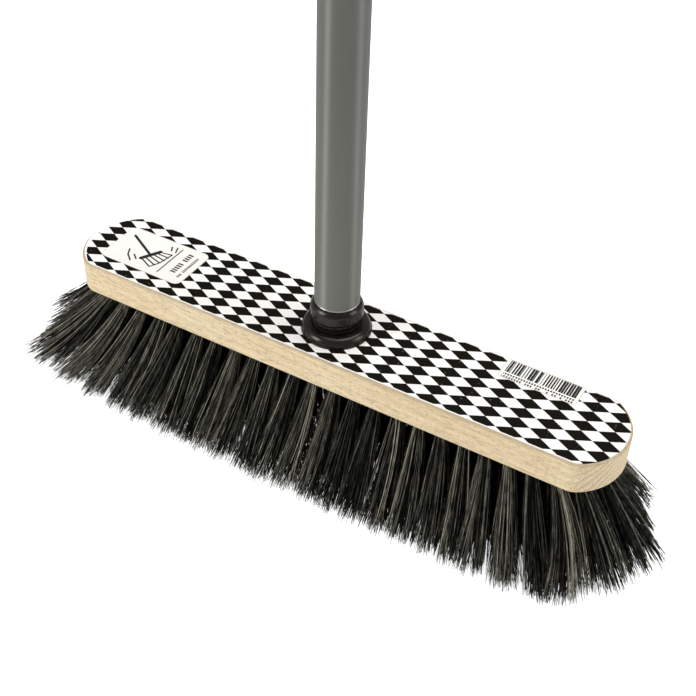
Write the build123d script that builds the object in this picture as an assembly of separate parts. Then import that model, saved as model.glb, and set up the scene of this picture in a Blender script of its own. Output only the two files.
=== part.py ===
from build123d import *
import math
import os

# Push broom: a beech block with five rows of bristle tufts and a screw-in steel handle.
# Millimetres. The origin is on the floor, below the centre of the block, +Z up, +X along the block.

# Head
HEAD_TOP = 80.0          # height of the printed covering above the floor
COVERING = 0.2           # thickness of the printed covering
BLOCK_LENGTH = 300.0
BLOCK_WIDTH = 50.0
BLOCK_HEIGHT = 17.5
END_RADIUS = 28.0        # bowed ends of the block
CORNER_RADIUS = 10.0     # where a bowed end runs into a straight side
TOP_EDGE = 1.1           # rounding of the block's top edge
BOTTOM_EDGE = 1.6        # rounding of the block's bottom edge
COVERING_INSET = 1.25    # the covering stops this far inside the block's outline

# Stickers
STICKER = 0.12           # thickness of both stickers
END_LABEL_SIZE = (50.0, 29.4)
END_LABEL_CENTRE = (-109.7, 0.0)
END_LABEL_CORNER = 4.0
CODE_LABEL_SIZE = (39.2, 13.6)
CODE_LABEL_CENTRE = (100.6, 16.7)
CODE_LABEL_CORNER = 1.4

# Tufts
ROW_COUNTS = (23, 24, 25, 24, 23)
ROW_PITCH = 9.75         # from one row to the next, across the block
TUFT_PITCH = 11.45       # from one tuft to the next, along a row
HOLE_RADIUS = 2.5
HOLE_DEPTH = 8.5
ROOT_RADIUS = 2.4        # the folded bundle where it sits in its hole
TIP_RADIUS = 5.9         # the flared bundle at the floor
STRAIGHT_RUN = 2.5       # the bundle starts to flare this far below the block
TUFT_LENGTH = 68.0       # from the block to the tips of a bundle that hangs clear of the floor
SIDE_LEAN = 22.0         # outward lean of the two outer rows, degrees
LENGTH_LEAN = 0.13       # lean along the block, degrees for each millimetre from the centre
END_LEAN = 19.0          # extra lean of the last tuft at each end of a row, degrees
END_LEAN_POWER = 12      # the extra lean is felt only by the last few tufts
END_FAN_FROM = 118.0     # tufts further out than this belong to the end fans
SOCKET_CLEARANCE = 17.6  # no tuft is drilled nearer than this to the handle's axis

# Anchors
ANCHOR_LENGTH = 4.6
ANCHOR_THICKNESS = 0.5
ANCHOR_HEIGHT = 2.0
ANCHOR_SLOT = 0.1        # room around an anchor in the fold of its bundle

# Handle socket and screw thread; heights are above the printed covering
PITCH = 3.0
THREAD_CORE = 10.35      # core radius of the handle's thread
THREAD_CREST = 11.75     # crest radius of the handle's thread
THREAD_ROOT_WIDTH = 1.7
THREAD_CREST_WIDTH = 0.9
THREAD_CLEARANCE = 0.3
THREAD_OVERLAP = 0.4     # the ridge starts this far inside the core, so that both fuse
THREAD_END_GAP = 0.6     # the ridges stop this far from the faces at their ends
FLANGE_RADIUS = 17.25
FLANGE_HEIGHT = 4.6
FLANGE_FOOT = 1.2        # height of the foot ring
FLANGE_STEP = 0.3        # the dome sets back this far above the foot ring
FLANGE_SHOULDER = (16.2, 3.3)    # radius and height of a point halfway up the dome
FLANGE_TOP_RADIUS = 14.4
SPIGOT_RADIUS = 13.3
SPIGOT_DEPTH = 15.0
SPIGOT_FIT = 0.1
SOCKET_FLOOR = 2.0
LEAD_IN = 1.5            # height of the funnel at the mouth of the thread
LEAD_IN_FLARE = 0.3      # the funnel's mouth is this much wider than the thread

# Handle
FERRULE_TIP = -12.6      # lower end of the handle's thread
COLLAR_BOTTOM = 10.2
COLLAR_SHOULDER = 14.6
COLLAR_TOP = 17.3
COLLAR_RADIUS = 12.9
COLLAR_NECK_RADIUS = 11.25
COLLAR_CHAMFER = 0.4
COLLAR_ROUND = (12.35, 16.1)     # radius and height of a point halfway up the collar's shoulder
TUBE_RADIUS = 11.0
TUBE_WALL = 0.7
TUBE_LENGTH = 1300.0
TUBE_END_CHAMFER = 0.25
PLUG_RADIUS = 10.15      # ferrule and cap where they sit inside the tube
PLUG_LENGTH = 30.0
PLUG_CHAMFER = 1.0
TUBE_GAP = 0.3
CAP_RADIUS = 11.3
CAP_HEIGHT = 44.0
CAP_SLEEVE = 12.0
CAP_THICKNESS = 9.0
CAP_DOME = 9.0
CAP_SLOPE = 9.0          # height over which the cap's round foot turns into its flat eye
EYE_RADIUS = 4.75
EYE_HEIGHT = 29.0

CUT_OVERRUN = 1.0        # cutting tools run this far past the faces they open

BLOCK_TOP = HEAD_TOP - COVERING
BLOCK_BOTTOM = BLOCK_TOP - BLOCK_HEIGHT
TUBE_BOTTOM = HEAD_TOP + COLLAR_TOP + TUBE_GAP
TUBE_TOP = TUBE_BOTTOM + TUBE_LENGTH


def head_outline(inset):
    """Plan of the block, drawn in by inset: straight sides, bowed ends, rounded corners."""
    half_length = BLOCK_LENGTH / 2 - inset
    half_width = BLOCK_WIDTH / 2 - inset
    radius = END_RADIUS - inset
    straight = half_length - radius + math.sqrt(radius**2 - half_width**2)
    edges = [
        Line((-straight, -half_width), (straight, -half_width)),
        ThreePointArc((straight, -half_width), (half_length, 0), (straight, half_width)),
        Line((straight, half_width), (-straight, half_width)),
        ThreePointArc((-straight, half_width), (-half_length, 0), (-straight, -half_width)),
    ]
    plan = make_face(edges)
    return fillet(plan.vertices(), CORNER_RADIUS - inset)


def lean_along(x, reach):
    """Lean along the block, in degrees, of a tuft in a row that ends at reach."""
    return LENGTH_LEAN * x + math.copysign(END_LEAN * (abs(x) / reach)**END_LEAN_POWER, x)


def lean_across(y):
    """Lean of a tuft across the block, in degrees."""
    outer = ROW_PITCH * (len(ROW_COUNTS) - 1) / 2
    return SIDE_LEAN * y / outer


def tuft_planes():
    """One plane for each tuft, on the block's underside with Z down the tuft, by group name."""
    groups = {f"row_{row + 1}": [] for row in range(len(ROW_COUNTS))}
    groups["left_end"] = []
    groups["right_end"] = []
    for row, count in enumerate(ROW_COUNTS):
        y = (row - (len(ROW_COUNTS) - 1) / 2) * ROW_PITCH
        reach = TUFT_PITCH * (count - 1) / 2
        for index in range(count):
            x = (index - (count - 1) / 2) * TUFT_PITCH
            if math.hypot(x, y) < SOCKET_CLEARANCE:
                continue
            slope_x = math.tan(math.radians(lean_along(x, reach)))
            slope_y = math.tan(math.radians(lean_across(y)))
            plane = Plane(
                origin=(x, y, BLOCK_BOTTOM),
                x_dir=(1, 0, slope_x),
                z_dir=(slope_x, slope_y, -1),
            )
            if x < -END_FAN_FROM:
                groups["left_end"].append(plane)
            elif x > END_FAN_FROM:
                groups["right_end"].append(plane)
            else:
                groups[f"row_{row + 1}"].append(plane)
    return groups


def tuft(plane):
    """A bundle folded over its anchor: round in its hole, flared below, cut off at the floor."""
    slope = (TIP_RADIUS - ROOT_RADIUS) / (BLOCK_BOTTOM - STRAIGHT_RUN)
    end_radius = ROOT_RADIUS + slope * (TUFT_LENGTH - STRAIGHT_RUN)
    profile = Polyline(
        (0, -HOLE_DEPTH),
        (ROOT_RADIUS, -HOLE_DEPTH),
        (ROOT_RADIUS, STRAIGHT_RUN),
        (end_radius, TUFT_LENGTH),
        (0, TUFT_LENGTH),
        close=True,
    )
    bundle = revolve(Plane.XZ * make_face(profile), Axis.Z)
    bundle -= anchor_blank(ANCHOR_SLOT)
    side = 2 * BLOCK_LENGTH
    below_floor = Box(side, side, TUFT_LENGTH, align=(Align.CENTER, Align.CENTER, Align.MAX))
    return plane * bundle - below_floor


def anchor_blank(room):
    """Flat anchor standing on the floor of a tuft's hole, grown by room on its free faces."""
    length = ANCHOR_LENGTH + (2 * ROOT_RADIUS if room else 0)
    blank = Box(
        length,
        ANCHOR_THICKNESS + 2 * room,
        ANCHOR_HEIGHT + room,
        align=(Align.CENTER, Align.CENTER, Align.MIN),
    )
    return Pos(0, 0, -HOLE_DEPTH) * blank


def block(planes):
    """Beech block, bored from above for the socket and from below for every tuft."""
    body = Pos(0, 0, BLOCK_BOTTOM) * extrude(head_outline(0), BLOCK_HEIGHT)
    body = fillet(body.edges().group_by(Axis.Z)[-1], TOP_EDGE)
    body = fillet(body.edges().group_by(Axis.Z)[0], BOTTOM_EDGE)
    depth = SPIGOT_DEPTH - COVERING
    body -= Pos(0, 0, BLOCK_TOP - depth / 2) * Cylinder(SPIGOT_RADIUS + SPIGOT_FIT, depth)
    reach = HOLE_DEPTH + 2 * HOLE_RADIUS
    drill = Pos(0, 0, reach / 2 - HOLE_DEPTH) * Cylinder(HOLE_RADIUS, reach)
    body -= [plane * drill for plane in planes]
    return body


def top_covering():
    """Printed covering on the block's top face, holed for the socket."""
    sheet = Pos(0, 0, BLOCK_TOP) * extrude(head_outline(COVERING_INSET), COVERING)
    return sheet - Pos(0, 0, HEAD_TOP) * Cylinder(SPIGOT_RADIUS + SPIGOT_FIT, 4 * COVERING)


def sticker(size, centre, corner):
    """Thin sticker with rounded corners, lying on the covering."""
    outline = RectangleRounded(size[0], size[1], corner)
    return Pos(centre[0], centre[1], HEAD_TOP) * extrude(outline, STICKER)


def thread_ridge(core, crest, root_width, crest_width, low, high):
    """Right-hand helical ridge between the heights low and high, on the Z axis."""
    first_turn = math.floor(low / PITCH) - 1
    last_turn = math.ceil(high / PITCH) + 1
    start = first_turn * PITCH
    rise = (last_turn - first_turn) * PITCH
    turns = Helix(pitch=PITCH, height=rise, radius=core, center=(0, 0, start))
    slope = (root_width - crest_width) / 2 / (crest - core)
    base = root_width / 2 + slope * THREAD_OVERLAP
    section = Polyline(
        (core - THREAD_OVERLAP, start - base),
        (crest, start - crest_width / 2),
        (crest, start + crest_width / 2),
        (core - THREAD_OVERLAP, start + base),
        close=True,
    )
    ridge = sweep(Plane.XZ * make_face(section), path=turns, is_frenet=True)
    band = Pos(0, 0, (low + high) / 2) * Cylinder(2 * crest, high - low)
    return ridge & band


def handle_socket():
    """Plastic socket let into the block: domed flange on top, screw thread inside."""
    outer = SPIGOT_RADIUS
    dome_start = (FLANGE_RADIUS - FLANGE_STEP, FLANGE_FOOT)
    dome_end = (FLANGE_TOP_RADIUS, FLANGE_HEIGHT)
    edges = [
        Polyline((0, -SPIGOT_DEPTH), (outer, -SPIGOT_DEPTH), (outer, 0), (FLANGE_RADIUS, 0)),
        Polyline((FLANGE_RADIUS, 0), (FLANGE_RADIUS, FLANGE_FOOT), dome_start),
        ThreePointArc(dome_start, FLANGE_SHOULDER, dome_end),
        Polyline(dome_end, (0, FLANGE_HEIGHT), (0, -SPIGOT_DEPTH)),
    ]
    solid = revolve(Plane.XZ * make_face(edges), Axis.Z)
    bore = THREAD_CORE + THREAD_CLEARANCE
    groove = THREAD_CREST + THREAD_CLEARANCE
    floor = SOCKET_FLOOR - SPIGOT_DEPTH
    depth = FLANGE_HEIGHT + CUT_OVERRUN - floor
    tap = Pos(0, 0, floor + depth / 2) * Cylinder(bore, depth)
    tap += thread_ridge(
        bore,
        groove,
        THREAD_ROOT_WIDTH + 2 * THREAD_CLEARANCE,
        THREAD_CREST_WIDTH + 2 * THREAD_CLEARANCE,
        floor + THREAD_END_GAP,
        FLANGE_HEIGHT + CUT_OVERRUN / 2,
    )
    solid -= tap
    mouth = Cone(bore, groove + LEAD_IN_FLARE, LEAD_IN)
    solid -= Pos(0, 0, FLANGE_HEIGHT - LEAD_IN / 2) * mouth
    return Pos(0, 0, HEAD_TOP) * solid


def handle_ferrule():
    """Plastic end fitting of the handle: coarse thread, collar, and a plug inside the tube."""
    plug_top = COLLAR_TOP + PLUG_LENGTH
    edges = [
        Polyline(
            (0, FERRULE_TIP),
            (THREAD_CORE - PLUG_CHAMFER, FERRULE_TIP),
            (THREAD_CORE, FERRULE_TIP + PLUG_CHAMFER),
            (THREAD_CORE, COLLAR_BOTTOM),
            (COLLAR_RADIUS - COLLAR_CHAMFER, COLLAR_BOTTOM),
            (COLLAR_RADIUS, COLLAR_BOTTOM + COLLAR_CHAMFER),
            (COLLAR_RADIUS, COLLAR_SHOULDER),
        ),
        ThreePointArc(
            (COLLAR_RADIUS, COLLAR_SHOULDER), COLLAR_ROUND, (COLLAR_NECK_RADIUS, COLLAR_TOP)
        ),
        Polyline(
            (COLLAR_NECK_RADIUS, COLLAR_TOP),
            (PLUG_RADIUS, COLLAR_TOP),
            (PLUG_RADIUS, plug_top - PLUG_CHAMFER),
            (PLUG_RADIUS - PLUG_CHAMFER, plug_top),
            (0, plug_top),
            (0, FERRULE_TIP),
        ),
    ]
    solid = revolve(Plane.XZ * make_face(edges), Axis.Z)
    solid += thread_ridge(
        THREAD_CORE,
        THREAD_CREST,
        THREAD_ROOT_WIDTH,
        THREAD_CREST_WIDTH,
        FERRULE_TIP + PLUG_CHAMFER,
        COLLAR_BOTTOM - THREAD_END_GAP,
    )
    return Pos(0, 0, HEAD_TOP) * solid


def handle_tube():
    """Lacquered steel tube, open at both ends."""
    inner = TUBE_RADIUS - TUBE_WALL
    tube = Cylinder(TUBE_RADIUS, TUBE_LENGTH) - Cylinder(inner, TUBE_LENGTH)
    rims = tube.edges().filter_by(GeomType.CIRCLE).group_by(SortBy.RADIUS)[-1]
    tube = chamfer(rims, TUBE_END_CHAMFER)
    return Pos(0, 0, (TUBE_BOTTOM + TUBE_TOP) / 2) * tube


def handle_cap():
    """Plastic cap at the top of the tube, flattened above into a hanging eye."""
    base = TUBE_TOP + TUBE_GAP
    body = Pos(0, 0, CAP_HEIGHT / 2) * Cylinder(CAP_RADIUS, CAP_HEIGHT)
    body = fillet(body.edges().group_by(Axis.Z)[-1], CAP_DOME)
    half = CAP_THICKNESS / 2
    cheek = make_face(
        Polyline(
            (CAP_RADIUS + CUT_OVERRUN, CAP_SLEEVE - CUT_OVERRUN),
            (half, CAP_SLEEVE + CAP_SLOPE),
            (half, CAP_HEIGHT + CUT_OVERRUN),
            (CAP_RADIUS + CUT_OVERRUN, CAP_HEIGHT + CUT_OVERRUN),
            close=True,
        )
    )
    cut = extrude(Plane.YZ * cheek, 2 * CAP_RADIUS, both=True)
    body -= [cut, Rot(0, 0, 180) * cut]
    body -= Pos(0, 0, EYE_HEIGHT) * Rot(90, 0, 0) * Cylinder(EYE_RADIUS, 4 * CAP_RADIUS)
    plug = Pos(0, 0, -PLUG_LENGTH / 2) * Cylinder(PLUG_RADIUS, PLUG_LENGTH)
    body += chamfer(plug.edges().group_by(Axis.Z)[0], PLUG_CHAMFER)
    return Pos(0, 0, base) * body


def write(name, shape):
    export_step(shape, f"parts/{name}.step")


def main():
    os.makedirs("parts", exist_ok=True)
    groups = tuft_planes()
    planes = [plane for group in groups.values() for plane in group]
    write("block", block(planes))
    write("top_covering", top_covering())
    write("end_label", sticker(END_LABEL_SIZE, END_LABEL_CENTRE, END_LABEL_CORNER))
    write("code_label", sticker(CODE_LABEL_SIZE, CODE_LABEL_CENTRE, CODE_LABEL_CORNER))
    write("handle_socket", handle_socket())
    write("handle_ferrule", handle_ferrule())
    write("handle_tube", handle_tube())
    write("handle_cap", handle_cap())
    for group, members in groups.items():
        write(f"tufts_{group}", Compound(children=[tuft(plane) for plane in members]))
        anchors = [plane * anchor_blank(0) for plane in members]
        write(f"anchors_{group}", Compound(children=anchors))


main()
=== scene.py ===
import math

import bmesh
import bpy
import numpy as np
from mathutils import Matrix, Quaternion, Vector


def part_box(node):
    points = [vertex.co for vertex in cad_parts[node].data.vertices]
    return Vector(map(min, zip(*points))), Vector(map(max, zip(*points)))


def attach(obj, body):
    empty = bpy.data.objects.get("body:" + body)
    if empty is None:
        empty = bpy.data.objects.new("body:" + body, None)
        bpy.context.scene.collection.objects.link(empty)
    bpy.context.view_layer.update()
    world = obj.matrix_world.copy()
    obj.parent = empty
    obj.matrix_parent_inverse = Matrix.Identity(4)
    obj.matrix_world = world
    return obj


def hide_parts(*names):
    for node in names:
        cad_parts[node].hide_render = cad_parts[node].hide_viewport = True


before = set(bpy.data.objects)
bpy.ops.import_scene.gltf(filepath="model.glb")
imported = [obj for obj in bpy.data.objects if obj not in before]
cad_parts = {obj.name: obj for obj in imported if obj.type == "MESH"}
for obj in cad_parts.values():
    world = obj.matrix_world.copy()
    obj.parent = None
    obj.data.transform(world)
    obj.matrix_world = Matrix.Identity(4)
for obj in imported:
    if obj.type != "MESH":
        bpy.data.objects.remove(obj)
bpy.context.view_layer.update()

MM = 0.001
BLOCK_LOW, BLOCK_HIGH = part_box("block")
HEAD_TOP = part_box("top_covering")[1].z
TUBE_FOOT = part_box("handle_tube")[0].z
TUFT_GROUPS = ("row_1", "row_2", "row_3", "row_4", "row_5", "left_end", "right_end")


# Camera, floor and studio light

CAMERA_FROM_HEAD = Vector((223.53, -385.33, 369.00)) * MM
CAMERA_LOOK = Vector((-0.37220, 0.66154, -0.65102))
CAMERA_ROLL = math.radians(1.877)
CAMERA_LENS = 61.69
SENSOR_WIDTH = 36

SKY_SEEN = 0.95                 # strength of the sky to the eye, and in the light it casts
SKY_CAST = 0.28
FLOOR_SEEN = 0.8
FLOOR_CAST = 0.0
FLOOR_SIZE = 12
FLOOR_GREY = (0.93, 0.93, 0.93, 1)
WHITE = (1, 1, 1, 1)

SOFTBOXES = (                   # name, place, aim, width, height, watts
    ("key", (-1.25, -1.55, 1.0), (0, 0, 0.1), 0.8, 1.1, 27),
    ("rim", (1.7, 0.5, 0.9), (0, 0, 0.1), 0.8, 1.2, 12),
    ("top", (0.1, 0.4, 1.8), (0, 0, 0), 1.4, 1.4, 24),
)


def place_camera():
    data = bpy.data.cameras.new("camera")
    data.lens = CAMERA_LENS
    data.sensor_width = SENSOR_WIDTH
    data.clip_start = 10 * MM
    camera = bpy.data.objects.new("camera", data)
    bpy.context.scene.collection.objects.link(camera)
    camera.location = Vector((0, 0, HEAD_TOP)) + CAMERA_FROM_HEAD
    level = CAMERA_LOOK.to_track_quat("-Z", "Y")
    camera.rotation_mode = "QUATERNION"
    camera.rotation_quaternion = level @ Quaternion((0, 0, 1), CAMERA_ROLL)
    bpy.context.scene.camera = camera


def softbox(name, place, aim, width, height, power):
    data = bpy.data.lights.new(name, "AREA")
    data.shape = "RECTANGLE"
    data.size = width
    data.size_y = height
    data.energy = power
    lamp = bpy.data.objects.new(name, data)
    bpy.context.scene.collection.objects.link(lamp)
    lamp.location = place
    lamp.rotation_euler = (Vector(aim) - Vector(place)).to_track_quat("-Z", "Y").to_euler()


def seen_and_cast(tree, seen, cast):
    """A strength with one value where it is looked at and another in the light it casts."""
    path = tree.nodes.new("ShaderNodeLightPath")
    strength = tree.nodes.new("ShaderNodeMapRange")
    strength.inputs["To Min"].default_value = cast
    strength.inputs["To Max"].default_value = seen
    tree.links.new(path.outputs["Is Camera Ray"], strength.inputs["Value"])
    return strength.outputs["Result"]


def light_studio():
    world = bpy.data.worlds.new("studio")
    bpy.context.scene.world = world
    world.use_nodes = True
    sky = world.node_tree.nodes["Background"].inputs
    sky["Color"].default_value = WHITE
    world.node_tree.links.new(seen_and_cast(world.node_tree, SKY_SEEN, SKY_CAST), sky["Strength"])
    for values in SOFTBOXES:
        softbox(*values)


def lay_floor():
    bpy.ops.mesh.primitive_plane_add(size=FLOOR_SIZE)
    floor = bpy.context.object
    floor.name = "floor"
    look = bpy.data.materials.new("pale_floor")
    look.use_nodes = True
    tree = look.node_tree
    shader = tree.nodes["Principled BSDF"].inputs
    shader["Base Color"].default_value = FLOOR_GREY
    shader["Roughness"].default_value = 0.9
    shader["Emission Color"].default_value = WHITE
    tree.links.new(seen_and_cast(tree, FLOOR_SEEN, FLOOR_CAST), shader["Emission Strength"])
    floor.data.materials.append(look)


# Node helpers

def plug(tree, socket, value):
    """Gives a socket a value, or links another node's output to it."""
    if isinstance(value, bpy.types.NodeSocket):
        tree.links.new(value, socket)
    else:
        socket.default_value = value


def add(tree, kind, inputs=None, **settings):
    """A node with its settings and inputs. An input is a value or another node's output."""
    made = tree.nodes.new(kind)
    for name, value in settings.items():
        setattr(made, name, value)
    for key, value in (inputs or {}).items():
        plug(tree, made.inputs[key], value)
    return made


def calc(tree, operation, *values, clamp=False):
    """A sum on values or other nodes' outputs."""
    inputs = dict(enumerate(values))
    return add(tree, "ShaderNodeMath", inputs, operation=operation, use_clamp=clamp).outputs[0]


def span(tree, value, low, high, to_low=0.0, to_high=1.0):
    """The value mapped from low..high to to_low..to_high, and held at both ends."""
    inputs = {"Value": value, "From Min": low, "From Max": high, "To Min": to_low, "To Max": to_high}
    return add(tree, "ShaderNodeMapRange", inputs).outputs["Result"]


def radius_of(tree, across, down):
    """How far a point is from the middle, by its two distances from it."""
    squares = calc(tree, "ADD", calc(tree, "POWER", across, 2.0), calc(tree, "POWER", down, 2.0))
    return calc(tree, "SQRT", squares)


def between(tree, value, low, high):
    above = calc(tree, "GREATER_THAN", value, low)
    return calc(tree, "MULTIPLY", above, calc(tree, "LESS_THAN", value, high))


def mix(tree, factor, first, second):
    inputs = {"Factor": factor, 6: first, 7: second}
    return add(tree, "ShaderNodeMix", inputs, data_type="RGBA").outputs[2]


def noise(tree, place, scale, detail=2.0, roughness=0.5, distortion=0.0):
    inputs = {"Vector": place, "Scale": scale, "Detail": detail, "Roughness": roughness}
    inputs["Distortion"] = distortion
    return add(tree, "ShaderNodeTexNoise", inputs).outputs["Fac"]


def stretched(tree, place, scale):
    """The place with each axis scaled on its own, for a noise that is longer one way."""
    return add(tree, "ShaderNodeMapping", {"Vector": place, "Scale": scale}).outputs[0]


def object_place(tree):
    return add(tree, "ShaderNodeTexCoord").outputs["Object"]


def split(tree, place):
    parts = add(tree, "ShaderNodeSeparateXYZ", {"Vector": place}).outputs
    return parts[0], parts[1], parts[2]


def new_group(name, inputs, outputs):
    """A shader node group with named inputs (name: default) and outputs (name: socket type).

    A tuple as the default makes a vector input, and a number makes a float input.
    """
    tree = bpy.data.node_groups.new(name, "ShaderNodeTree")
    for key, default in inputs.items():
        kind = "NodeSocketVector" if isinstance(default, tuple) else "NodeSocketFloat"
        made = tree.interface.new_socket(key, in_out="INPUT", socket_type=kind)
        if kind == "NodeSocketFloat":
            made.default_value = default
    for key, kind in outputs.items():
        tree.interface.new_socket(key, in_out="OUTPUT", socket_type=kind)
    return tree, tree.nodes.new("NodeGroupInput").outputs, tree.nodes.new("NodeGroupOutput").inputs


def place_group(tree, group, inputs):
    return add(tree, "ShaderNodeGroup", inputs, node_tree=group).outputs


def new_material(name):
    look = bpy.data.materials.new(name)
    look.use_nodes = True
    return look, look.node_tree, look.node_tree.nodes["Principled BSDF"]


def bump(tree, height, distance, strength=1.0):
    inputs = {"Height": height, "Distance": distance, "Strength": strength}
    return add(tree, "ShaderNodeBump", inputs).outputs["Normal"]


def feed(tree, shader, **sockets):
    """Links or sets the shader's sockets; underscores stand for spaces."""
    for key, value in sockets.items():
        plug(tree, shader.inputs[key.replace("_", " ")], value)


# Effects shared by several materials

def specks_group():
    """Sparse soft specks of dust and pinholes."""
    inputs = {"Place": (0, 0, 0), "Scale": 900.0, "Amount": 0.3}
    tree, given, out = new_group("specks", inputs, {"Mask": "NodeSocketFloat"})
    cells = add(tree, "ShaderNodeTexVoronoi", {"Vector": given["Place"], "Scale": given["Scale"]})
    near = span(tree, cells.outputs["Distance"], 0.10, 0.22, 1, 0)
    pick = calc(tree, "LESS_THAN", split(tree, cells.outputs["Color"])[0], given["Amount"])
    tree.links.new(calc(tree, "MULTIPLY", near, pick), out["Mask"])
    return tree


def scuffs_group():
    """Fine short scratches that run mostly one way."""
    inputs = {"Place": (0, 0, 0), "Scale": 1.0, "Amount": 0.3}
    tree, given, out = new_group("scuffs", inputs, {"Mask": "NodeSocketFloat"})
    scaled = {0: given["Place"], "Scale": given["Scale"]}
    place = add(tree, "ShaderNodeVectorMath", scaled, operation="SCALE").outputs[0]
    lines = noise(tree, place, 1.0, 3, 0.6, 0.3)
    thin = span(tree, calc(tree, "ABSOLUTE", calc(tree, "SUBTRACT", lines, 0.5)), 0.0, 0.012, 1, 0)
    patches = noise(tree, given["Place"], 22.0, 2)
    where = span(tree, calc(tree, "ADD", patches, given["Amount"]), 0.75, 0.95)
    tree.links.new(calc(tree, "MULTIPLY", thin, where), out["Mask"])
    return tree


PEN_SOFTNESS = 0.06 * MM
SHORTEST_SQUARED = 1e-12        # keeps a stroke of no length from dividing by zero


def stroke_group():
    """A straight pen stroke from one point to another in a plane, with round ends and a soft edge."""
    inputs = {"Place": (0, 0, 0), "From": (0, 0, 0), "To": (0, 0, 0), "Width": 0.6 * MM}
    tree, given, out = new_group("pen_stroke", inputs, {"Ink": "NodeSocketFloat"})

    def vector(operation, *values):
        made = add(tree, "ShaderNodeVectorMath", dict(enumerate(values)), operation=operation)
        return made.outputs["Value"] if operation in ("DOT_PRODUCT", "LENGTH") else made.outputs["Vector"]

    reach = vector("SUBTRACT", given["Place"], given["From"])
    line = vector("SUBTRACT", given["To"], given["From"])
    squared = calc(tree, "MAXIMUM", vector("DOT_PRODUCT", line, line), SHORTEST_SQUARED)
    along = calc(tree, "DIVIDE", vector("DOT_PRODUCT", reach, line), squared, clamp=True)
    foot = add(tree, "ShaderNodeVectorMath", {0: line, "Scale": along}, operation="SCALE").outputs["Vector"]
    away = vector("LENGTH", vector("SUBTRACT", reach, foot))
    half = calc(tree, "MULTIPLY", given["Width"], 0.5)
    edge = calc(tree, "SUBTRACT", away, half)
    tree.links.new(span(tree, edge, PEN_SOFTNESS, -PEN_SOFTNESS), out["Ink"])
    return tree


SPECKS = specks_group()
SCUFFS = scuffs_group()
STROKE = stroke_group()


# Beech block

PITH_Y = 90 * MM                # pith of the log, beside and below the block
PITH_Z = -20 * MM
PITH_FALL = 0.06                # it falls by this much for each metre towards the right end
RING_STEP = 2.6 * MM
RING_DRIFT = 16 * MM
BEECH_PALE = (0.88, 0.735, 0.475, 1)
BEECH_HONEY = (0.78, 0.61, 0.36, 1)
GRAIN_BROWN = (0.58, 0.42, 0.24, 1)
RING_BROWN = (0.44, 0.30, 0.16, 1)
FLECK_BROWN = (0.42, 0.27, 0.13, 1)
PORE_BROWN = (0.30, 0.20, 0.11, 1)
# paler wood painted on the faces turned downwards: a painted highlight along the bottom edge
UNDERSIDE_PAINTED_HIGHLIGHT = (0.95, 0.84, 0.62, 1)
EDGE_BROWN = (0.34, 0.27, 0.18, 1)


def beech():
    look, tree, shader = new_material("beech")
    place = object_place(tree)
    x, y, z = split(tree, place)
    drift = noise(tree, stretched(tree, place, (3.5, 22, 22)), 1.0, 2, 0.5)
    drift = calc(tree, "MULTIPLY", calc(tree, "SUBTRACT", drift, 0.5), RING_DRIFT)
    off_y = calc(tree, "ADD", calc(tree, "SUBTRACT", y, PITH_Y), drift)
    off_z = calc(tree, "ADD", calc(tree, "SUBTRACT", z, PITH_Z), calc(tree, "MULTIPLY", x, PITH_FALL))
    phase = calc(tree, "FRACT", calc(tree, "DIVIDE", radius_of(tree, off_y, off_z), RING_STEP))
    late_wood = calc(tree, "POWER", phase, 5.0)
    grain = noise(tree, stretched(tree, place, (14, 420, 420)), 1.0, 4, 0.6)
    cloud = noise(tree, stretched(tree, place, (9, 40, 40)), 1.0, 3, 0.5)
    flecks = span(tree, noise(tree, stretched(tree, place, (230, 2300, 2300)), 1.0, 1, 0.4), 0.56, 0.66)
    pores = span(tree, noise(tree, stretched(tree, place, (420, 4200, 4200)), 1.0, 0), 0.64, 0.72)
    normal_x, _, normal_z = split(tree, add(tree, "ShaderNodeNewGeometry").outputs["Normal"])
    end_face = span(tree, calc(tree, "ABSOLUTE", normal_x), 0.25, 0.8)
    ring_weight = span(tree, end_face, 0.0, 1.0, 0.3, 1.0)
    # Faces turned downwards are painted paler, a painted highlight along the block's bottom edge.
    painted_underside_highlight = span(tree, calc(tree, "MULTIPLY", normal_z, -1.0), 0.15, 0.6, 0.0, 0.6)
    top_rim = span(tree, z, BLOCK_HIGH.z - 1.2 * MM, BLOCK_HIGH.z - 0.2 * MM, 0.0, 0.7)
    colour = mix(tree, span(tree, cloud, 0.32, 0.7), BEECH_PALE, BEECH_HONEY)
    colour = mix(tree, calc(tree, "MULTIPLY", span(tree, grain, 0.42, 0.75), 0.4), colour, GRAIN_BROWN)
    colour = mix(tree, calc(tree, "MULTIPLY", late_wood, ring_weight), colour, RING_BROWN)
    colour = mix(tree, calc(tree, "MULTIPLY", flecks, 0.5), colour, FLECK_BROWN)
    colour = mix(tree, calc(tree, "MULTIPLY", pores, 0.6), colour, PORE_BROWN)
    colour = mix(tree, painted_underside_highlight, colour, UNDERSIDE_PAINTED_HIGHLIGHT)
    colour = mix(tree, top_rim, colour, EDGE_BROWN)
    worn = span(tree, noise(tree, place, 260.0, 2), 0.3, 0.7, 0.42, 0.56)
    height = calc(tree, "SUBTRACT", calc(tree, "MULTIPLY", grain, 0.6), calc(tree, "MULTIPLY", flecks, 0.5))
    feed(tree, shader, Base_Color=colour, Roughness=worn, Normal=bump(tree, height, 0.12 * MM, 0.5))
    feed(tree, shader, Coat_Weight=0.12, Coat_Roughness=0.35)
    return look


# Printed covering with its diamonds

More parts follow.
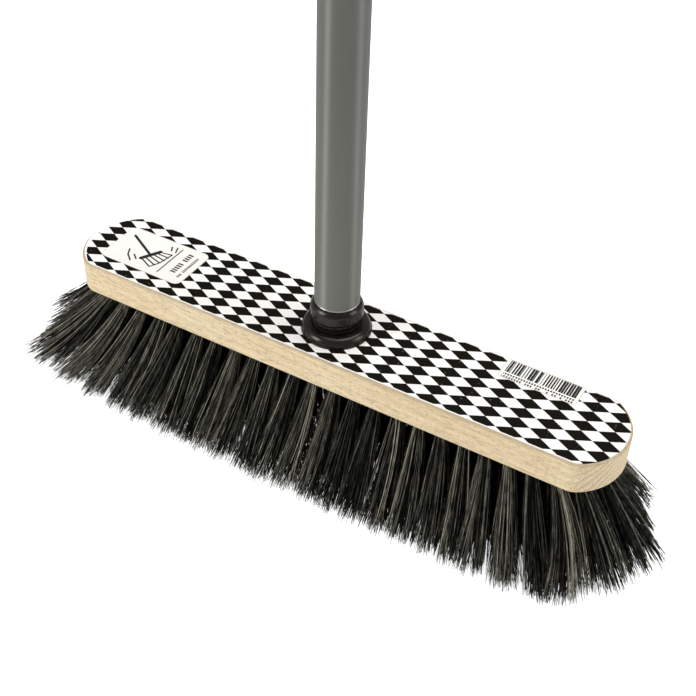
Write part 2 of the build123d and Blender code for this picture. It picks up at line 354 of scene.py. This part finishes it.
DIAMOND_LONG = 13.408 * MM
DIAMOND_SHORT = 7.113 * MM
DIAMOND_CENTRE = (7.81 * MM, -0.04 * MM)
PRINT_HALF_WIDTH = 23.15 * MM
PRINT_END = 27.6 * MM           # radius of the print's bowed left end
PRINT_END_CENTRE = -119.6 * MM
PRINT_EDGE = 0.1 * MM           # softness of the print's outer edge
PRINT_WOBBLE = 0.16 * MM
INK = (0.0048, 0.0040, 0.0022, 1)
WORN_INK = (0.045, 0.040, 0.032, 1)
DUSTY_INK = (0.35, 0.33, 0.30, 1)
PAPER = (0.90, 0.885, 0.85, 1)
AGED_PAPER = (0.82, 0.80, 0.765, 1)
DUSTY_PAPER = (0.55, 0.52, 0.48, 1)


def printed_covering():
    look, tree, shader = new_material("printed_covering")
    place = object_place(tree)
    x, y, _ = split(tree, place)
    wobble = calc(tree, "SUBTRACT", noise(tree, place, 1500.0, 1), 0.5)
    wobble = calc(tree, "MULTIPLY", wobble, PRINT_WOBBLE)
    off_x = calc(tree, "SUBTRACT", calc(tree, "ADD", x, wobble), DIAMOND_CENTRE[0])
    across = calc(tree, "PINGPONG", calc(tree, "DIVIDE", off_x, DIAMOND_LONG), 0.5)
    off_y = calc(tree, "SUBTRACT", y, DIAMOND_CENTRE[1])
    down = calc(tree, "PINGPONG", calc(tree, "DIVIDE", off_y, DIAMOND_SHORT), 0.5)
    diamonds = span(tree, calc(tree, "ADD", across, down), 0.516, 0.500)
    inside = span(tree, calc(tree, "ABSOLUTE", y), PRINT_HALF_WIDTH + PRINT_EDGE, PRINT_HALF_WIDTH)
    from_end = calc(tree, "SUBTRACT", x, PRINT_END_CENTRE)
    past_bow = span(tree, radius_of(tree, from_end, y), PRINT_END, PRINT_END + PRINT_EDGE)
    past_bow = calc(tree, "MULTIPLY", past_bow, calc(tree, "LESS_THAN", from_end, 0.0))
    printed = calc(tree, "MULTIPLY", inside, calc(tree, "SUBTRACT", 1.0, past_bow))
    black = calc(tree, "MULTIPLY", diamonds, printed)
    mottle = span(tree, noise(tree, place, 2600.0, 2, 0.6), 0.35, 0.75, 0.0, 0.14)
    fibre = span(tree, noise(tree, place, 700.0, 3, 0.6), 0.35, 0.75, 0.0, 0.5)
    dust = place_group(tree, SPECKS, {"Place": place, "Scale": 420.0, "Amount": 0.16})["Mask"]
    paper = mix(tree, calc(tree, "MULTIPLY", dust, 0.35), mix(tree, fibre, PAPER, AGED_PAPER), DUSTY_PAPER)
    ink = mix(tree, calc(tree, "MULTIPLY", dust, 0.25), mix(tree, mottle, INK, WORN_INK), DUSTY_INK)
    rough = span(tree, black, 0.0, 1.0, 0.52, 0.46)
    weave = noise(tree, stretched(tree, place, (2200, 2200, 2200)), 1.0, 2)
    feed(tree, shader, Base_Color=mix(tree, black, paper, ink), Roughness=rough, Specular_IOR_Level=0.03)
    feed(tree, shader, Normal=bump(tree, weave, 0.05 * MM, 0.4))
    return look


# Stickers

EDGE_SHADOW_WIDTH = 0.35 * MM            # the band along the sticker's edge that is painted darker, a painted shadow line
STICKER_WHITE = (0.85, 0.835, 0.795, 1)
STICKER_AGED = (0.79, 0.775, 0.73, 1)
# grey of the painted shadow line along a sticker's edge
STICKER_EDGE_SHADOW = (0.45, 0.43, 0.39, 1)
STICKER_INK = (0.005, 0.0045, 0.0035, 1)


def label_place(tree, node):
    """Right and up on a sticker that is read from the block's right end, from its centre."""
    low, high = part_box(node)
    x, y, _ = split(tree, object_place(tree))
    right = calc(tree, "SUBTRACT", y, (low.y + high.y) / 2)
    up = calc(tree, "SUBTRACT", (low.x + high.x) / 2, x)
    return right, up


def chance_in_cell(tree, along, pitch, seed):
    """A random value from 0 to 1 for each cell of a row."""
    cell = calc(tree, "ADD", calc(tree, "FLOOR", calc(tree, "DIVIDE", along, pitch)), seed)
    return add(tree, "ShaderNodeTexWhiteNoise", {"W": cell}, noise_dimensions="1D").outputs["Value"]


def field(tree, along, across, ends, sides):
    """One inside a rectangle that lies between two ends and two sides, else zero."""
    return calc(tree, "MULTIPLY", between(tree, along, *ends), between(tree, across, *sides))


def dash_row(tree, along, across, ends, sides, pitch, fill, gaps, seed):
    """A row of short upright dashes with a few left out, as a stand-in for a line of print.

    A dash fills a share of its pitch, and gaps is the share of the dashes that is left out.
    """
    part = calc(tree, "FRACT", calc(tree, "DIVIDE", along, pitch))
    dash = calc(tree, "LESS_THAN", part, fill)
    kept = calc(tree, "GREATER_THAN", chance_in_cell(tree, along, pitch, seed), gaps)
    row = field(tree, along, across, ends, sides)
    return calc(tree, "MULTIPLY", calc(tree, "MULTIPLY", dash, kept), row)


BROOM_SIGN = (                  # strokes from one point to another, and their width, in millimetres
    ((8.2, 19.5), (-1.4, 2.2), 1.5),
    ((-6.0, 4.6), (3.4, -0.6), 2.4),
    ((-6.0, 4.4), (-9.6, -3.4), 0.85),
    ((-4.2, 3.4), (-7.2, -4.8), 0.85),
    ((-2.2, 2.2), (-4.4, -6.0), 0.85),
    ((-0.2, 1.2), (-1.6, -6.8), 0.85),
    ((1.6, 0.2), (1.4, -7.2), 0.85),
    ((3.2, -0.6), (4.4, -7.4), 0.85),
    ((-9.6, -3.4), (-4.4, -6.0), 0.85),
    ((-4.4, -6.0), (4.4, -7.4), 0.85),
    ((7.2, -7.6), (11.0, -6.2), 0.85),
    ((7.4, -4.8), (10.2, -3.2), 0.85),
    ((-10.4, 8.4), (-7.0, 12.4), 0.85),
    ((-7.0, 12.4), (-2.8, 14.6), 0.85),
    ((-8.0, 6.4), (-5.4, 9.6), 0.85),
    ((-11.0, -9.4), (11.0, -9.4), 0.7),
)
SIGN_ROWS = (                   # each row's ends, sides, pitch, fill, gaps and seed
    ((-10.5 * MM, 10.5 * MM), (-17.6 * MM, -14.4 * MM), 1.75 * MM, 0.6, 0.08, 3.0),
    ((-9.2 * MM, 9.2 * MM), (-21.6 * MM, -20.0 * MM), 1.15 * MM, 0.62, 0.10, 9.0),
)


def end_sticker():
    """White sticker with a plain line drawing of a broom over two rows of dashes."""
    look, tree, shader = new_material("end_sticker")
    right, up = label_place(tree, "end_label")
    flat = add(tree, "ShaderNodeCombineXYZ", {"X": right, "Y": up}).outputs[0]
    ink = None
    for start, end, width in BROOM_SIGN:
        stroke = place_group(tree, STROKE, {
            "Place": flat,
            "From": (start[0] * MM, start[1] * MM, 0),
            "To": (end[0] * MM, end[1] * MM, 0),
            "Width": width * MM,
        })["Ink"]
        ink = stroke if ink is None else calc(tree, "MAXIMUM", ink, stroke)
    for row in SIGN_ROWS:
        ink = calc(tree, "MAXIMUM", ink, dash_row(tree, right, up, *row))
    return finish_sticker(look, tree, shader, ink, "end_label")


def finish_sticker(look, tree, shader, ink, node):
    """Prints the ink on white paper with a painted shadow line along its edge."""
    place = object_place(tree)
    low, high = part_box(node)
    x, y, _ = split(tree, place)
    off_x = calc(tree, "ABSOLUTE", calc(tree, "SUBTRACT", x, (low.x + high.x) / 2))
    off_y = calc(tree, "ABSOLUTE", calc(tree, "SUBTRACT", y, (low.y + high.y) / 2))
    past_x = calc(tree, "GREATER_THAN", off_x, (high.x - low.x) / 2 - EDGE_SHADOW_WIDTH)
    past_y = calc(tree, "GREATER_THAN", off_y, (high.y - low.y) / 2 - EDGE_SHADOW_WIDTH)
    # A thin grey band along the sticker's edge, a painted shadow line.
    painted_edge_shadow = calc(tree, "MULTIPLY", calc(tree, "MAXIMUM", past_x, past_y), 0.55)
    fibre = noise(tree, place, 900.0, 3, 0.6)
    white = mix(tree, span(tree, fibre, 0.3, 0.75, 0.0, 0.5), STICKER_WHITE, STICKER_AGED)
    white = mix(tree, painted_edge_shadow, white, STICKER_EDGE_SHADOW)
    colour = mix(tree, calc(tree, "MULTIPLY", ink, 0.98), white, STICKER_INK)
    rough = span(tree, noise(tree, place, 300.0, 2), 0.3, 0.7, 0.30, 0.40)
    feed(tree, shader, Base_Color=colour, Roughness=rough, Specular_IOR_Level=0.08)
    feed(tree, shader, Normal=bump(tree, fibre, 0.03 * MM, 0.4))
    return look


BAR_PITCH = 1.3 * MM
BAR_SIDES = (4.5 * MM, 13.2 * MM)
BAR_MARGIN = 1.8 * MM
CODE_ROWS = (                   # each row's sides, pitch, fill, gaps and seed
    ((2.4 * MM, 3.6 * MM), 1.35 * MM, 0.62, 0.10, 21.0),
    ((0.5 * MM, 1.7 * MM), 1.35 * MM, 0.62, 0.16, 47.0),
)


def bar_sticker():
    """White sticker with plain random bars over two rows of dashes."""
    look, tree, shader = new_material("bar_sticker")
    low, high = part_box("code_label")
    x, y, _ = split(tree, object_place(tree))
    along = calc(tree, "SUBTRACT", x, low.x)
    across = calc(tree, "SUBTRACT", y, low.y)
    ends = (BAR_MARGIN, high.x - low.x - BAR_MARGIN)
    chance = chance_in_cell(tree, along, BAR_PITCH, 5.5)
    filled = span(tree, chance, 0.0, 0.95, 0.25, 0.95)
    bars = calc(tree, "LESS_THAN", calc(tree, "FRACT", calc(tree, "DIVIDE", along, BAR_PITCH)), filled)
    ink = calc(tree, "MULTIPLY", bars, field(tree, along, across, ends, BAR_SIDES))
    for row in CODE_ROWS:
        ink = calc(tree, "MAXIMUM", ink, dash_row(tree, along, across, ends, *row))
    return finish_sticker(look, tree, shader, ink, "code_label")


# Moulded plastic, lacquered steel, wire and bristle

PLASTIC_DARK = (0.0085, 0.0076, 0.0060, 1)
PLASTIC_WORN = (0.015, 0.0135, 0.0105, 1)
PLASTIC_DUST = (0.16, 0.155, 0.14, 1)
PLASTIC_SCUFF = (0.12, 0.115, 0.10, 1)
PLASTIC_SHEEN = (1.0, 0.95, 0.84, 1)


def black_plastic():
    look, tree, shader = new_material("black_plastic")
    place = object_place(tree)
    fine = noise(tree, place, 3200.0, 2, 0.6)
    broad = noise(tree, place, 160.0, 2)
    specks = place_group(tree, SPECKS, {"Place": place, "Scale": 1100.0, "Amount": 0.10})["Mask"]
    scuffs = place_group(tree, SCUFFS, {"Place": place, "Scale": 480.0, "Amount": 0.28})["Mask"]
    colour = mix(tree, span(tree, broad, 0.3, 0.7), PLASTIC_DARK, PLASTIC_WORN)
    colour = mix(tree, calc(tree, "MULTIPLY", specks, 0.25), colour, PLASTIC_DUST)
    colour = mix(tree, calc(tree, "MULTIPLY", scuffs, 0.18), colour, PLASTIC_SCUFF)
    rough = span(tree, broad, 0.3, 0.7, 0.20, 0.27)
    rough = calc(tree, "ADD", rough, calc(tree, "MULTIPLY", scuffs, 0.2))
    feed(tree, shader, Base_Color=colour, Roughness=rough, Normal=bump(tree, fine, 0.04 * MM, 0.35))
    feed(tree, shader, Specular_IOR_Level=0.33, Specular_Tint=PLASTIC_SHEEN)
    return look


LACQUER_DARK = (0.112, 0.114, 0.098, 1)
LACQUER_LIGHT = (0.128, 0.130, 0.112, 1)
# lighter lacquer painted at the tube's low end: a painted reflection of the white top
LACQUER_PAINTED_REFLECTION = (0.19, 0.19, 0.165, 1)
LACQUER_DRAWN = (0.07, 0.07, 0.062, 1)
LACQUER_PIT = (0.04, 0.04, 0.035, 1)
LACQUER_SCUFF = (0.26, 0.26, 0.235, 1)
BARE_STEEL = (0.78, 0.77, 0.74, 1)
PAINTED_REFLECTION_REACH = 120 * MM        # the tube's low end is painted a little lighter up to this height, a painted reflection of the white top
BARE_EDGE = 0.6 * MM            # the cut end of the tube is bare up to this height


def grey_lacquer():
    look, tree, shader = new_material("grey_lacquer")
    place = object_place(tree)
    peel = noise(tree, place, 420.0, 2, 0.4)
    drawn = noise(tree, stretched(tree, place, (900, 900, 6)), 1.0, 3, 0.6)
    tone = noise(tree, stretched(tree, place, (60, 60, 3)), 1.0, 2)
    specks = place_group(tree, SPECKS, {"Place": place, "Scale": 520.0, "Amount": 0.05})["Mask"]
    scuffs = place_group(tree, SCUFFS, {"Place": place, "Scale": 260.0, "Amount": 0.2})["Mask"]
    z = split(tree, place)[2]
    # The low end is painted lighter, a painted reflection of the white top below it.
    painted_reflection = span(tree, z, TUBE_FOOT, TUBE_FOOT + PAINTED_REFLECTION_REACH, 0.45, 0.0)
    bare = span(tree, z, TUBE_FOOT + BARE_EDGE * 1.5, TUBE_FOOT + BARE_EDGE)
    colour = mix(tree, span(tree, tone, 0.3, 0.7), LACQUER_DARK, LACQUER_LIGHT)
    colour = mix(tree, painted_reflection, colour, LACQUER_PAINTED_REFLECTION)
    colour = mix(tree, calc(tree, "MULTIPLY", drawn, 0.12), colour, LACQUER_DRAWN)
    colour = mix(tree, calc(tree, "MULTIPLY", specks, 0.25), colour, LACQUER_PIT)
    colour = mix(tree, calc(tree, "MULTIPLY", scuffs, 0.15), colour, LACQUER_SCUFF)
    colour = mix(tree, bare, colour, BARE_STEEL)
    rough = calc(tree, "ADD", span(tree, tone, 0.3, 0.7, 0.50, 0.56), calc(tree, "MULTIPLY", scuffs, 0.1))
    feed(tree, shader, Base_Color=colour, Roughness=rough, Normal=bump(tree, peel, 0.06 * MM, 0.25))
    feed(tree, shader, Coat_Weight=0.1, Coat_Roughness=0.25, Metallic=bare)
    around = add(tree, "ShaderNodeTangent", direction_type="RADIAL", axis="Z").outputs[0]
    feed(tree, shader, Specular_IOR_Level=1.0, Anisotropic=1.0, Anisotropic_Rotation=0.25, Tangent=around)
    return look


WIRE_DULL = (0.52, 0.51, 0.48, 1)
WIRE_BRIGHT = (0.70, 0.69, 0.66, 1)


def anchor_wire():
    look, tree, shader = new_material("anchor_wire")
    drawn = noise(tree, stretched(tree, object_place(tree), (300, 4000, 4000)), 1.0, 2)
    colour = mix(tree, drawn, WIRE_DULL, WIRE_BRIGHT)
    feed(tree, shader, Base_Color=colour, Metallic=1.0, Roughness=span(tree, drawn, 0.3, 0.7, 0.25, 0.42))
    return look


BRISTLE_TONES = (               # colours from the darkest bristle to the palest
    (0.0, (0.0006, 0.0006, 0.0005, 1)),
    (0.38, (0.005, 0.005, 0.0042, 1)),
    (0.62, (0.092, 0.089, 0.070, 1)),
    (1.0, (0.470, 0.452, 0.356, 1)),
)
BRISTLE_TIP = (0.03, 0.029, 0.025, 1)


def bristle():
    """Bristle whose UV map holds each strand's tone and how far along the strand a point is."""
    look, tree, shader = new_material("bristle")
    strand = add(tree, "ShaderNodeUVMap", uv_map="strand").outputs[0]
    tone, along, _ = split(tree, strand)
    streak = noise(tree, stretched(tree, object_place(tree), (500, 500, 60)), 1.0, 2, 0.6)
    tone = calc(tree, "ADD", tone, span(tree, streak, 0.3, 0.7, -0.12, 0.12), clamp=True)
    ramp = add(tree, "ShaderNodeValToRGB", {"Fac": tone})
    stops = ramp.color_ramp.elements
    for index, (place, colour) in enumerate(BRISTLE_TONES):
        stop = stops[index] if index < 2 else stops.new(place)
        stop.position = place
        stop.color = colour
    colour = mix(tree, span(tree, along, 0.9, 1.0, 0.0, 0.2), ramp.outputs["Color"], BRISTLE_TIP)
    rough = span(tree, tone, 0.0, 1.0, 0.5, 0.36)
    feed(tree, shader, Base_Color=colour, Roughness=rough, Specular_IOR_Level=0.08)
    return look


# Bristles

STRANDS_IN_TUFT = 200
STRANDS_IN_END_TUFT = 260
STRAND_RADIUS = 0.24 * MM
STRAND_THICKNESS = (0.8, 1.15)  # shares of that radius between which the bristles differ
STRAND_STEPS = 6
STEP_TAPER = 0.97
TIP_TAPER = 0.55
STRAND_LENGTH = 62.5 * MM
LENGTH_SPREAD = 1.9 * MM
LENGTH_CLIP = (-2.2, 1.7)       # no bristle is shorter or longer than this many spreads
EDGE_SHORTER = 2.4 * MM         # a bundle's outer bristles end higher than its middle ones
ROOT_DEPTH = 3.0 * MM
ROOT_SPREAD = 2.3 * MM
ROOT_STRAY = 0.08 * MM
TIP_SPREAD = 8.0 * MM
END_TIP_SPREAD = 11.5 * MM      # the inner rows and the bundles round the ends fan out wider
TIP_STRAY = 1.1 * MM
CURL = 1.1 * MM
FLARE = 1.3
GOLDEN_ANGLE = 2.39996          # spaces the bristles evenly over their bundle
LOCKS = 13                      # small locks into which a bundle's bristles gather
LOCK_PULL = 0.35
LOCK_TONE = 0.35                # the share of a bristle's tone that its lock decides
CORE_TONE = 0.4                 # a bundle is painted darker in its middle than at its edge, painted shade inside the bundle
EDGE_TONE = 1.1
INNER_ROWS = ("row_2", "row_3", "row_4")
INNER_PAINTED_SHADE = 0.5                # the inner rows are painted darker, painted shade under the block and the outer rows
FLOOR_GAP = 0.3 * MM
HEAD_DEPTH = 2.0 * MM           # a bundle's points this far above the block's underside are its head
FOOT_DEPTH = 0.1 * MM           # and those this near its lowest point are its foot
MERGE_REACH = 0.001 * MM        # points of a bundle this close together are one

# How far use has set the bundles' tips over, all along the block but for the sway

SWAY = (1.4 * MM, 0.7 * MM)     # each bundle by chance, along and across the block
BRUSHED_LEFT = 4.0 * MM         # the tips have set towards the left end
RIGHT_END_SET = 3.5 * MM        # but by this much less at the right end
RIGHT_END_FROM = 105.0 * MM
RIGHT_END_TO = 140.0 * MM
CORNER_EASE = 9.0 * MM          # the right fan's bundles at the near corner have set inwards
OUTER_ROW = 19.5 * MM
LEFT_FAN_SET = 7.0 * MM         # the left fan has been brushed further out
NEXT_SET = (12.0 * MM, 8.0 * MM)    # a row's last bundles lean to the fan beside them, left and right
NEXT_FROM = 70.0 * MM
NEXT_TO = 115.0 * MM
GAP_REACH = 35.0 * MM           # inner bundles this near the middle close the gap under the socket
GAP_CLOSE = 13.0 * MM


def one_strand():
    """A three-sided bristle one unit long and thinner at its tip: its points and its faces."""
    for other in bpy.context.selected_objects:
        other.select_set(False)
    bpy.ops.mesh.primitive_circle_add(vertices=3, radius=1, fill_type="NGON", location=(0, 0, 0))
    strand = bpy.context.object
    bpy.ops.object.mode_set(mode="EDIT")
    bpy.ops.mesh.select_all(action="SELECT")
    bpy.ops.mesh.flip_normals()
    for step in range(STRAND_STEPS):
        bpy.ops.mesh.extrude_region_move(TRANSFORM_OT_translate={"value": (0, 0, 1 / STRAND_STEPS)})
        taper = TIP_TAPER if step == STRAND_STEPS - 1 else STEP_TAPER
        centre = (0, 0, (step + 1) / STRAND_STEPS)
        bpy.ops.transform.resize(value=(taper, taper, 1), center_override=centre)
    bpy.ops.mesh.select_all(action="SELECT")
    bpy.ops.mesh.normals_make_consistent(inside=False)
    bpy.ops.object.mode_set(mode="OBJECT")
    points = np.array([vertex.co for vertex in strand.data.vertices])
    faces = [list(face.vertices) for face in strand.data.polygons]
    bpy.data.objects.remove(strand)
    return points, faces


def islands(solid):
    """The points of each separate part of a mesh."""
    unseen = set(solid.verts)
    while unseen:
        stack = [unseen.pop()]
        island = []
        while stack:
            vertex = stack.pop()
            island.append(vertex.co.copy())
            for edge in vertex.link_edges:
                other = edge.other_vert(vertex)
                if other in unseen:
                    unseen.remove(other)
                    stack.append(other)
        yield np.array(island)


def middle(points):
    return (points.min(axis=0) + points.max(axis=0)) / 2


def tuft_axes(node):
    """Where each tuft of a CAD node leaves the block and its direction, from the node's solids."""
    solid = bmesh.new()
    solid.from_mesh(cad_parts[node].data)
    bmesh.ops.remove_doubles(solid, verts=solid.verts, dist=MERGE_REACH)
    axes = []
    for points in islands(solid):
        foot = middle(points[points[:, 2] < points[:, 2].min() + FOOT_DEPTH])
        head = middle(points[points[:, 2] > BLOCK_LOW.z + HEAD_DEPTH])
        down = (foot - head) / np.linalg.norm(foot - head)
        start = head + down * (BLOCK_LOW.z - head[2]) / down[2]
        axes.append((start, down))
    solid.free()
    axes.sort(key=lambda axis: (round(axis[0][1], 4), axis[0][0]))
    return axes


def tip_set(group, start):
    """How far along the block a bundle's tips have set over."""
    toward_end = np.clip((start[0] - RIGHT_END_FROM) / (RIGHT_END_TO - RIGHT_END_FROM), 0, 1)
    moved = RIGHT_END_SET * toward_end**2 * (3 - 2 * toward_end) - BRUSHED_LEFT
    if not group.endswith("end"):
        near_fan = np.clip((abs(start[0]) - NEXT_FROM) / (NEXT_TO - NEXT_FROM), 0, 1)
        moved += (-NEXT_SET[0] if start[0] < 0 else NEXT_SET[1]) * near_fan**2
    elif start[0] < 0:
        moved -= LEFT_FAN_SET
    elif start[1] < 0:
        moved -= CORNER_EASE * (start[1] / OUTER_ROW)**2
    return moved


def gap_closing(group, start):
    """How far an inner bundle beside the undrilled places leans over them."""
    if group in INNER_ROWS and abs(start[0]) < GAP_REACH:
        return -math.copysign(GAP_CLOSE, start[0])
    return 0.0


def one_tuft(group, start, down, shape, chance):
    """The points and tones of all the bristles of one bundle."""
    wide = group.endswith("end") or group in INNER_ROWS
    count = STRANDS_IN_END_TUFT if group.endswith("end") else STRANDS_IN_TUFT
    side = np.cross(down, (0, 1, 0))
    side /= np.linalg.norm(side)
    ahead = np.cross(down, side)
    sway = chance.normal(0, 1, 2) * SWAY
    radius = np.sqrt((np.arange(count) + 0.5) / count)
    angle = np.arange(count) * GOLDEN_ANGLE + chance.uniform(0, 2 * math.pi)
    ring = np.stack([np.cos(angle), np.sin(angle)], axis=1) * radius[:, None]
    lock_centre = ring[chance.choice(count, LOCKS, replace=False)]
    lock = np.linalg.norm(ring[:, None] - lock_centre[None], axis=2).argmin(axis=1)
    gathered = ring + (lock_centre[lock] - ring) * LOCK_PULL
    root = ring * ROOT_SPREAD + chance.normal(0, 1, (count, 2)) * ROOT_STRAY
    tip = gathered * (END_TIP_SPREAD if wide else TIP_SPREAD)
    tip = tip + chance.normal(0, 1, (count, 2)) * TIP_STRAY + sway
    length = STRAND_LENGTH + np.clip(chance.normal(0, 1, count), *LENGTH_CLIP) * LENGTH_SPREAD
    length = length + ROOT_DEPTH - EDGE_SHORTER * radius**2
    curl = chance.normal(0, 1, (count, 2)) * CURL
    turn = chance.uniform(0, 2 * math.pi, count)
    thick = STRAND_RADIUS * chance.uniform(*STRAND_THICKNESS, count)
    shade = LOCK_TONE * chance.uniform(0, 1, LOCKS)[lock]
    shade = shade + (1 - LOCK_TONE) * chance.uniform(0, 1, count)
    # The middle of a bundle is painted darker than its edge, painted shade inside the bundle.
    tones = shade * (CORE_TONE + (EDGE_TONE - CORE_TONE) * radius)

    moved = tip_set(group, start)
    closing = gap_closing(group, start)
    along = shape[:, 2]
    flare = along**FLARE
    bend = 4 * along * (1 - along)
    places = []
    for i in range(count):
        cos, sin = math.cos(turn[i]), math.sin(turn[i])
        round_side = (shape[:, 0] * cos - shape[:, 1] * sin) * thick[i]
        round_ahead = (shape[:, 0] * sin + shape[:, 1] * cos) * thick[i]
        off_side = root[i, 0] + (tip[i, 0] - root[i, 0]) * flare + curl[i, 0] * bend + round_side
        off_ahead = root[i, 1] + (tip[i, 1] - root[i, 1]) * flare + curl[i, 1] * bend + round_ahead
        reach = along * length[i] - ROOT_DEPTH
        points = start + reach[:, None] * down + off_side[:, None] * side + off_ahead[:, None] * ahead
        points[:, 0] += moved * along**2 + closing * along
        places.append(above_floor(points))
    return places, tones


def above_floor(points):
    """A bristle that would reach below the floor is shortened to end just above it."""
    low, top = points[:, 2].min(), points[:, 2].max()
    if low < FLOOR_GAP:
        points[:, 2] = top - (top - points[:, 2]) * (top - FLOOR_GAP) / (top - low)
    return points


def bristle_row(group, strand, seed):
    """All the strands of one CAD node's tufts, as one mesh."""
    shape, faces = strand
    chance = np.random.default_rng(seed)
    # The inner rows' bristles are painted darker, painted shade under the block and the outer rows.
    painted_shade = INNER_PAINTED_SHADE if group in INNER_ROWS else 1.0
    places = []
    tones = []
    for start, down in tuft_axes(f"tufts_{group}"):
        tuft_places, tuft_tones = one_tuft(group, start, down, shape, chance)
        places.extend(tuft_places)
        tones.extend(tuft_tones * painted_shade)
    return strands_mesh(f"bristles_{group}", np.array(places), np.array(tones), shape[:, 2], faces)


def strands_mesh(name, places, tones, along, faces):
    """One mesh of many strands of the same shape, with a UV map of each one's tone and height."""
    strands, points = places.shape[:2]
    mesh = bpy.data.meshes.new(name)
    sizes = np.array([len(face) for face in faces])
    corners = np.concatenate(faces)
    offsets = np.arange(strands)[:, None] * points
    loops = (corners[None, :] + offsets).ravel()
    totals = np.tile(sizes, strands)
    starts = np.concatenate(([0], np.cumsum(totals)[:-1]))
    mesh.vertices.add(strands * points)
    mesh.vertices.foreach_set("co", places.astype(np.float32).ravel())
    mesh.loops.add(len(loops))
    mesh.loops.foreach_set("vertex_index", loops.astype(np.int32))
    mesh.polygons.add(len(totals))
    mesh.polygons.foreach_set("loop_start", starts.astype(np.int32))
    mesh.polygons.foreach_set("loop_total", totals.astype(np.int32))
    mesh.polygons.foreach_set("use_smooth", np.ones(len(totals), bool))
    mesh.update()
    layer = mesh.uv_layers.new(name="strand")
    tone = np.repeat(tones, len(corners))
    height = np.tile(along[corners], strands)
    layer.data.foreach_set("uv", np.stack([tone, height], axis=1).astype(np.float32).ravel())
    piece = bpy.data.objects.new(name, mesh)
    bpy.context.scene.collection.objects.link(piece)
    return piece


# The object

FIRST_SEED = 40


def dress(node, look):
    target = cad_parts[node]
    target.data.materials.clear()
    target.data.materials.append(look)


def main():
    place_camera()
    lay_floor()
    light_studio()
    bpy.context.scene.view_settings.view_transform = "Standard"
    dress("block", beech())
    dress("top_covering", printed_covering())
    dress("end_label", end_sticker())
    dress("code_label", bar_sticker())
    plastic = black_plastic()
    for node in ("handle_socket", "handle_ferrule", "handle_cap"):
        dress(node, plastic)
    dress("handle_tube", grey_lacquer())
    wire = anchor_wire()
    hair = bristle()
    strand = one_strand()
    for index, group in enumerate(TUFT_GROUPS):
        dress(f"anchors_{group}", wire)
        row = bristle_row(group, strand, FIRST_SEED + index)
        row.data.materials.append(hair)
        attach(row, "head")
        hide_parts(f"tufts_{group}")


main()
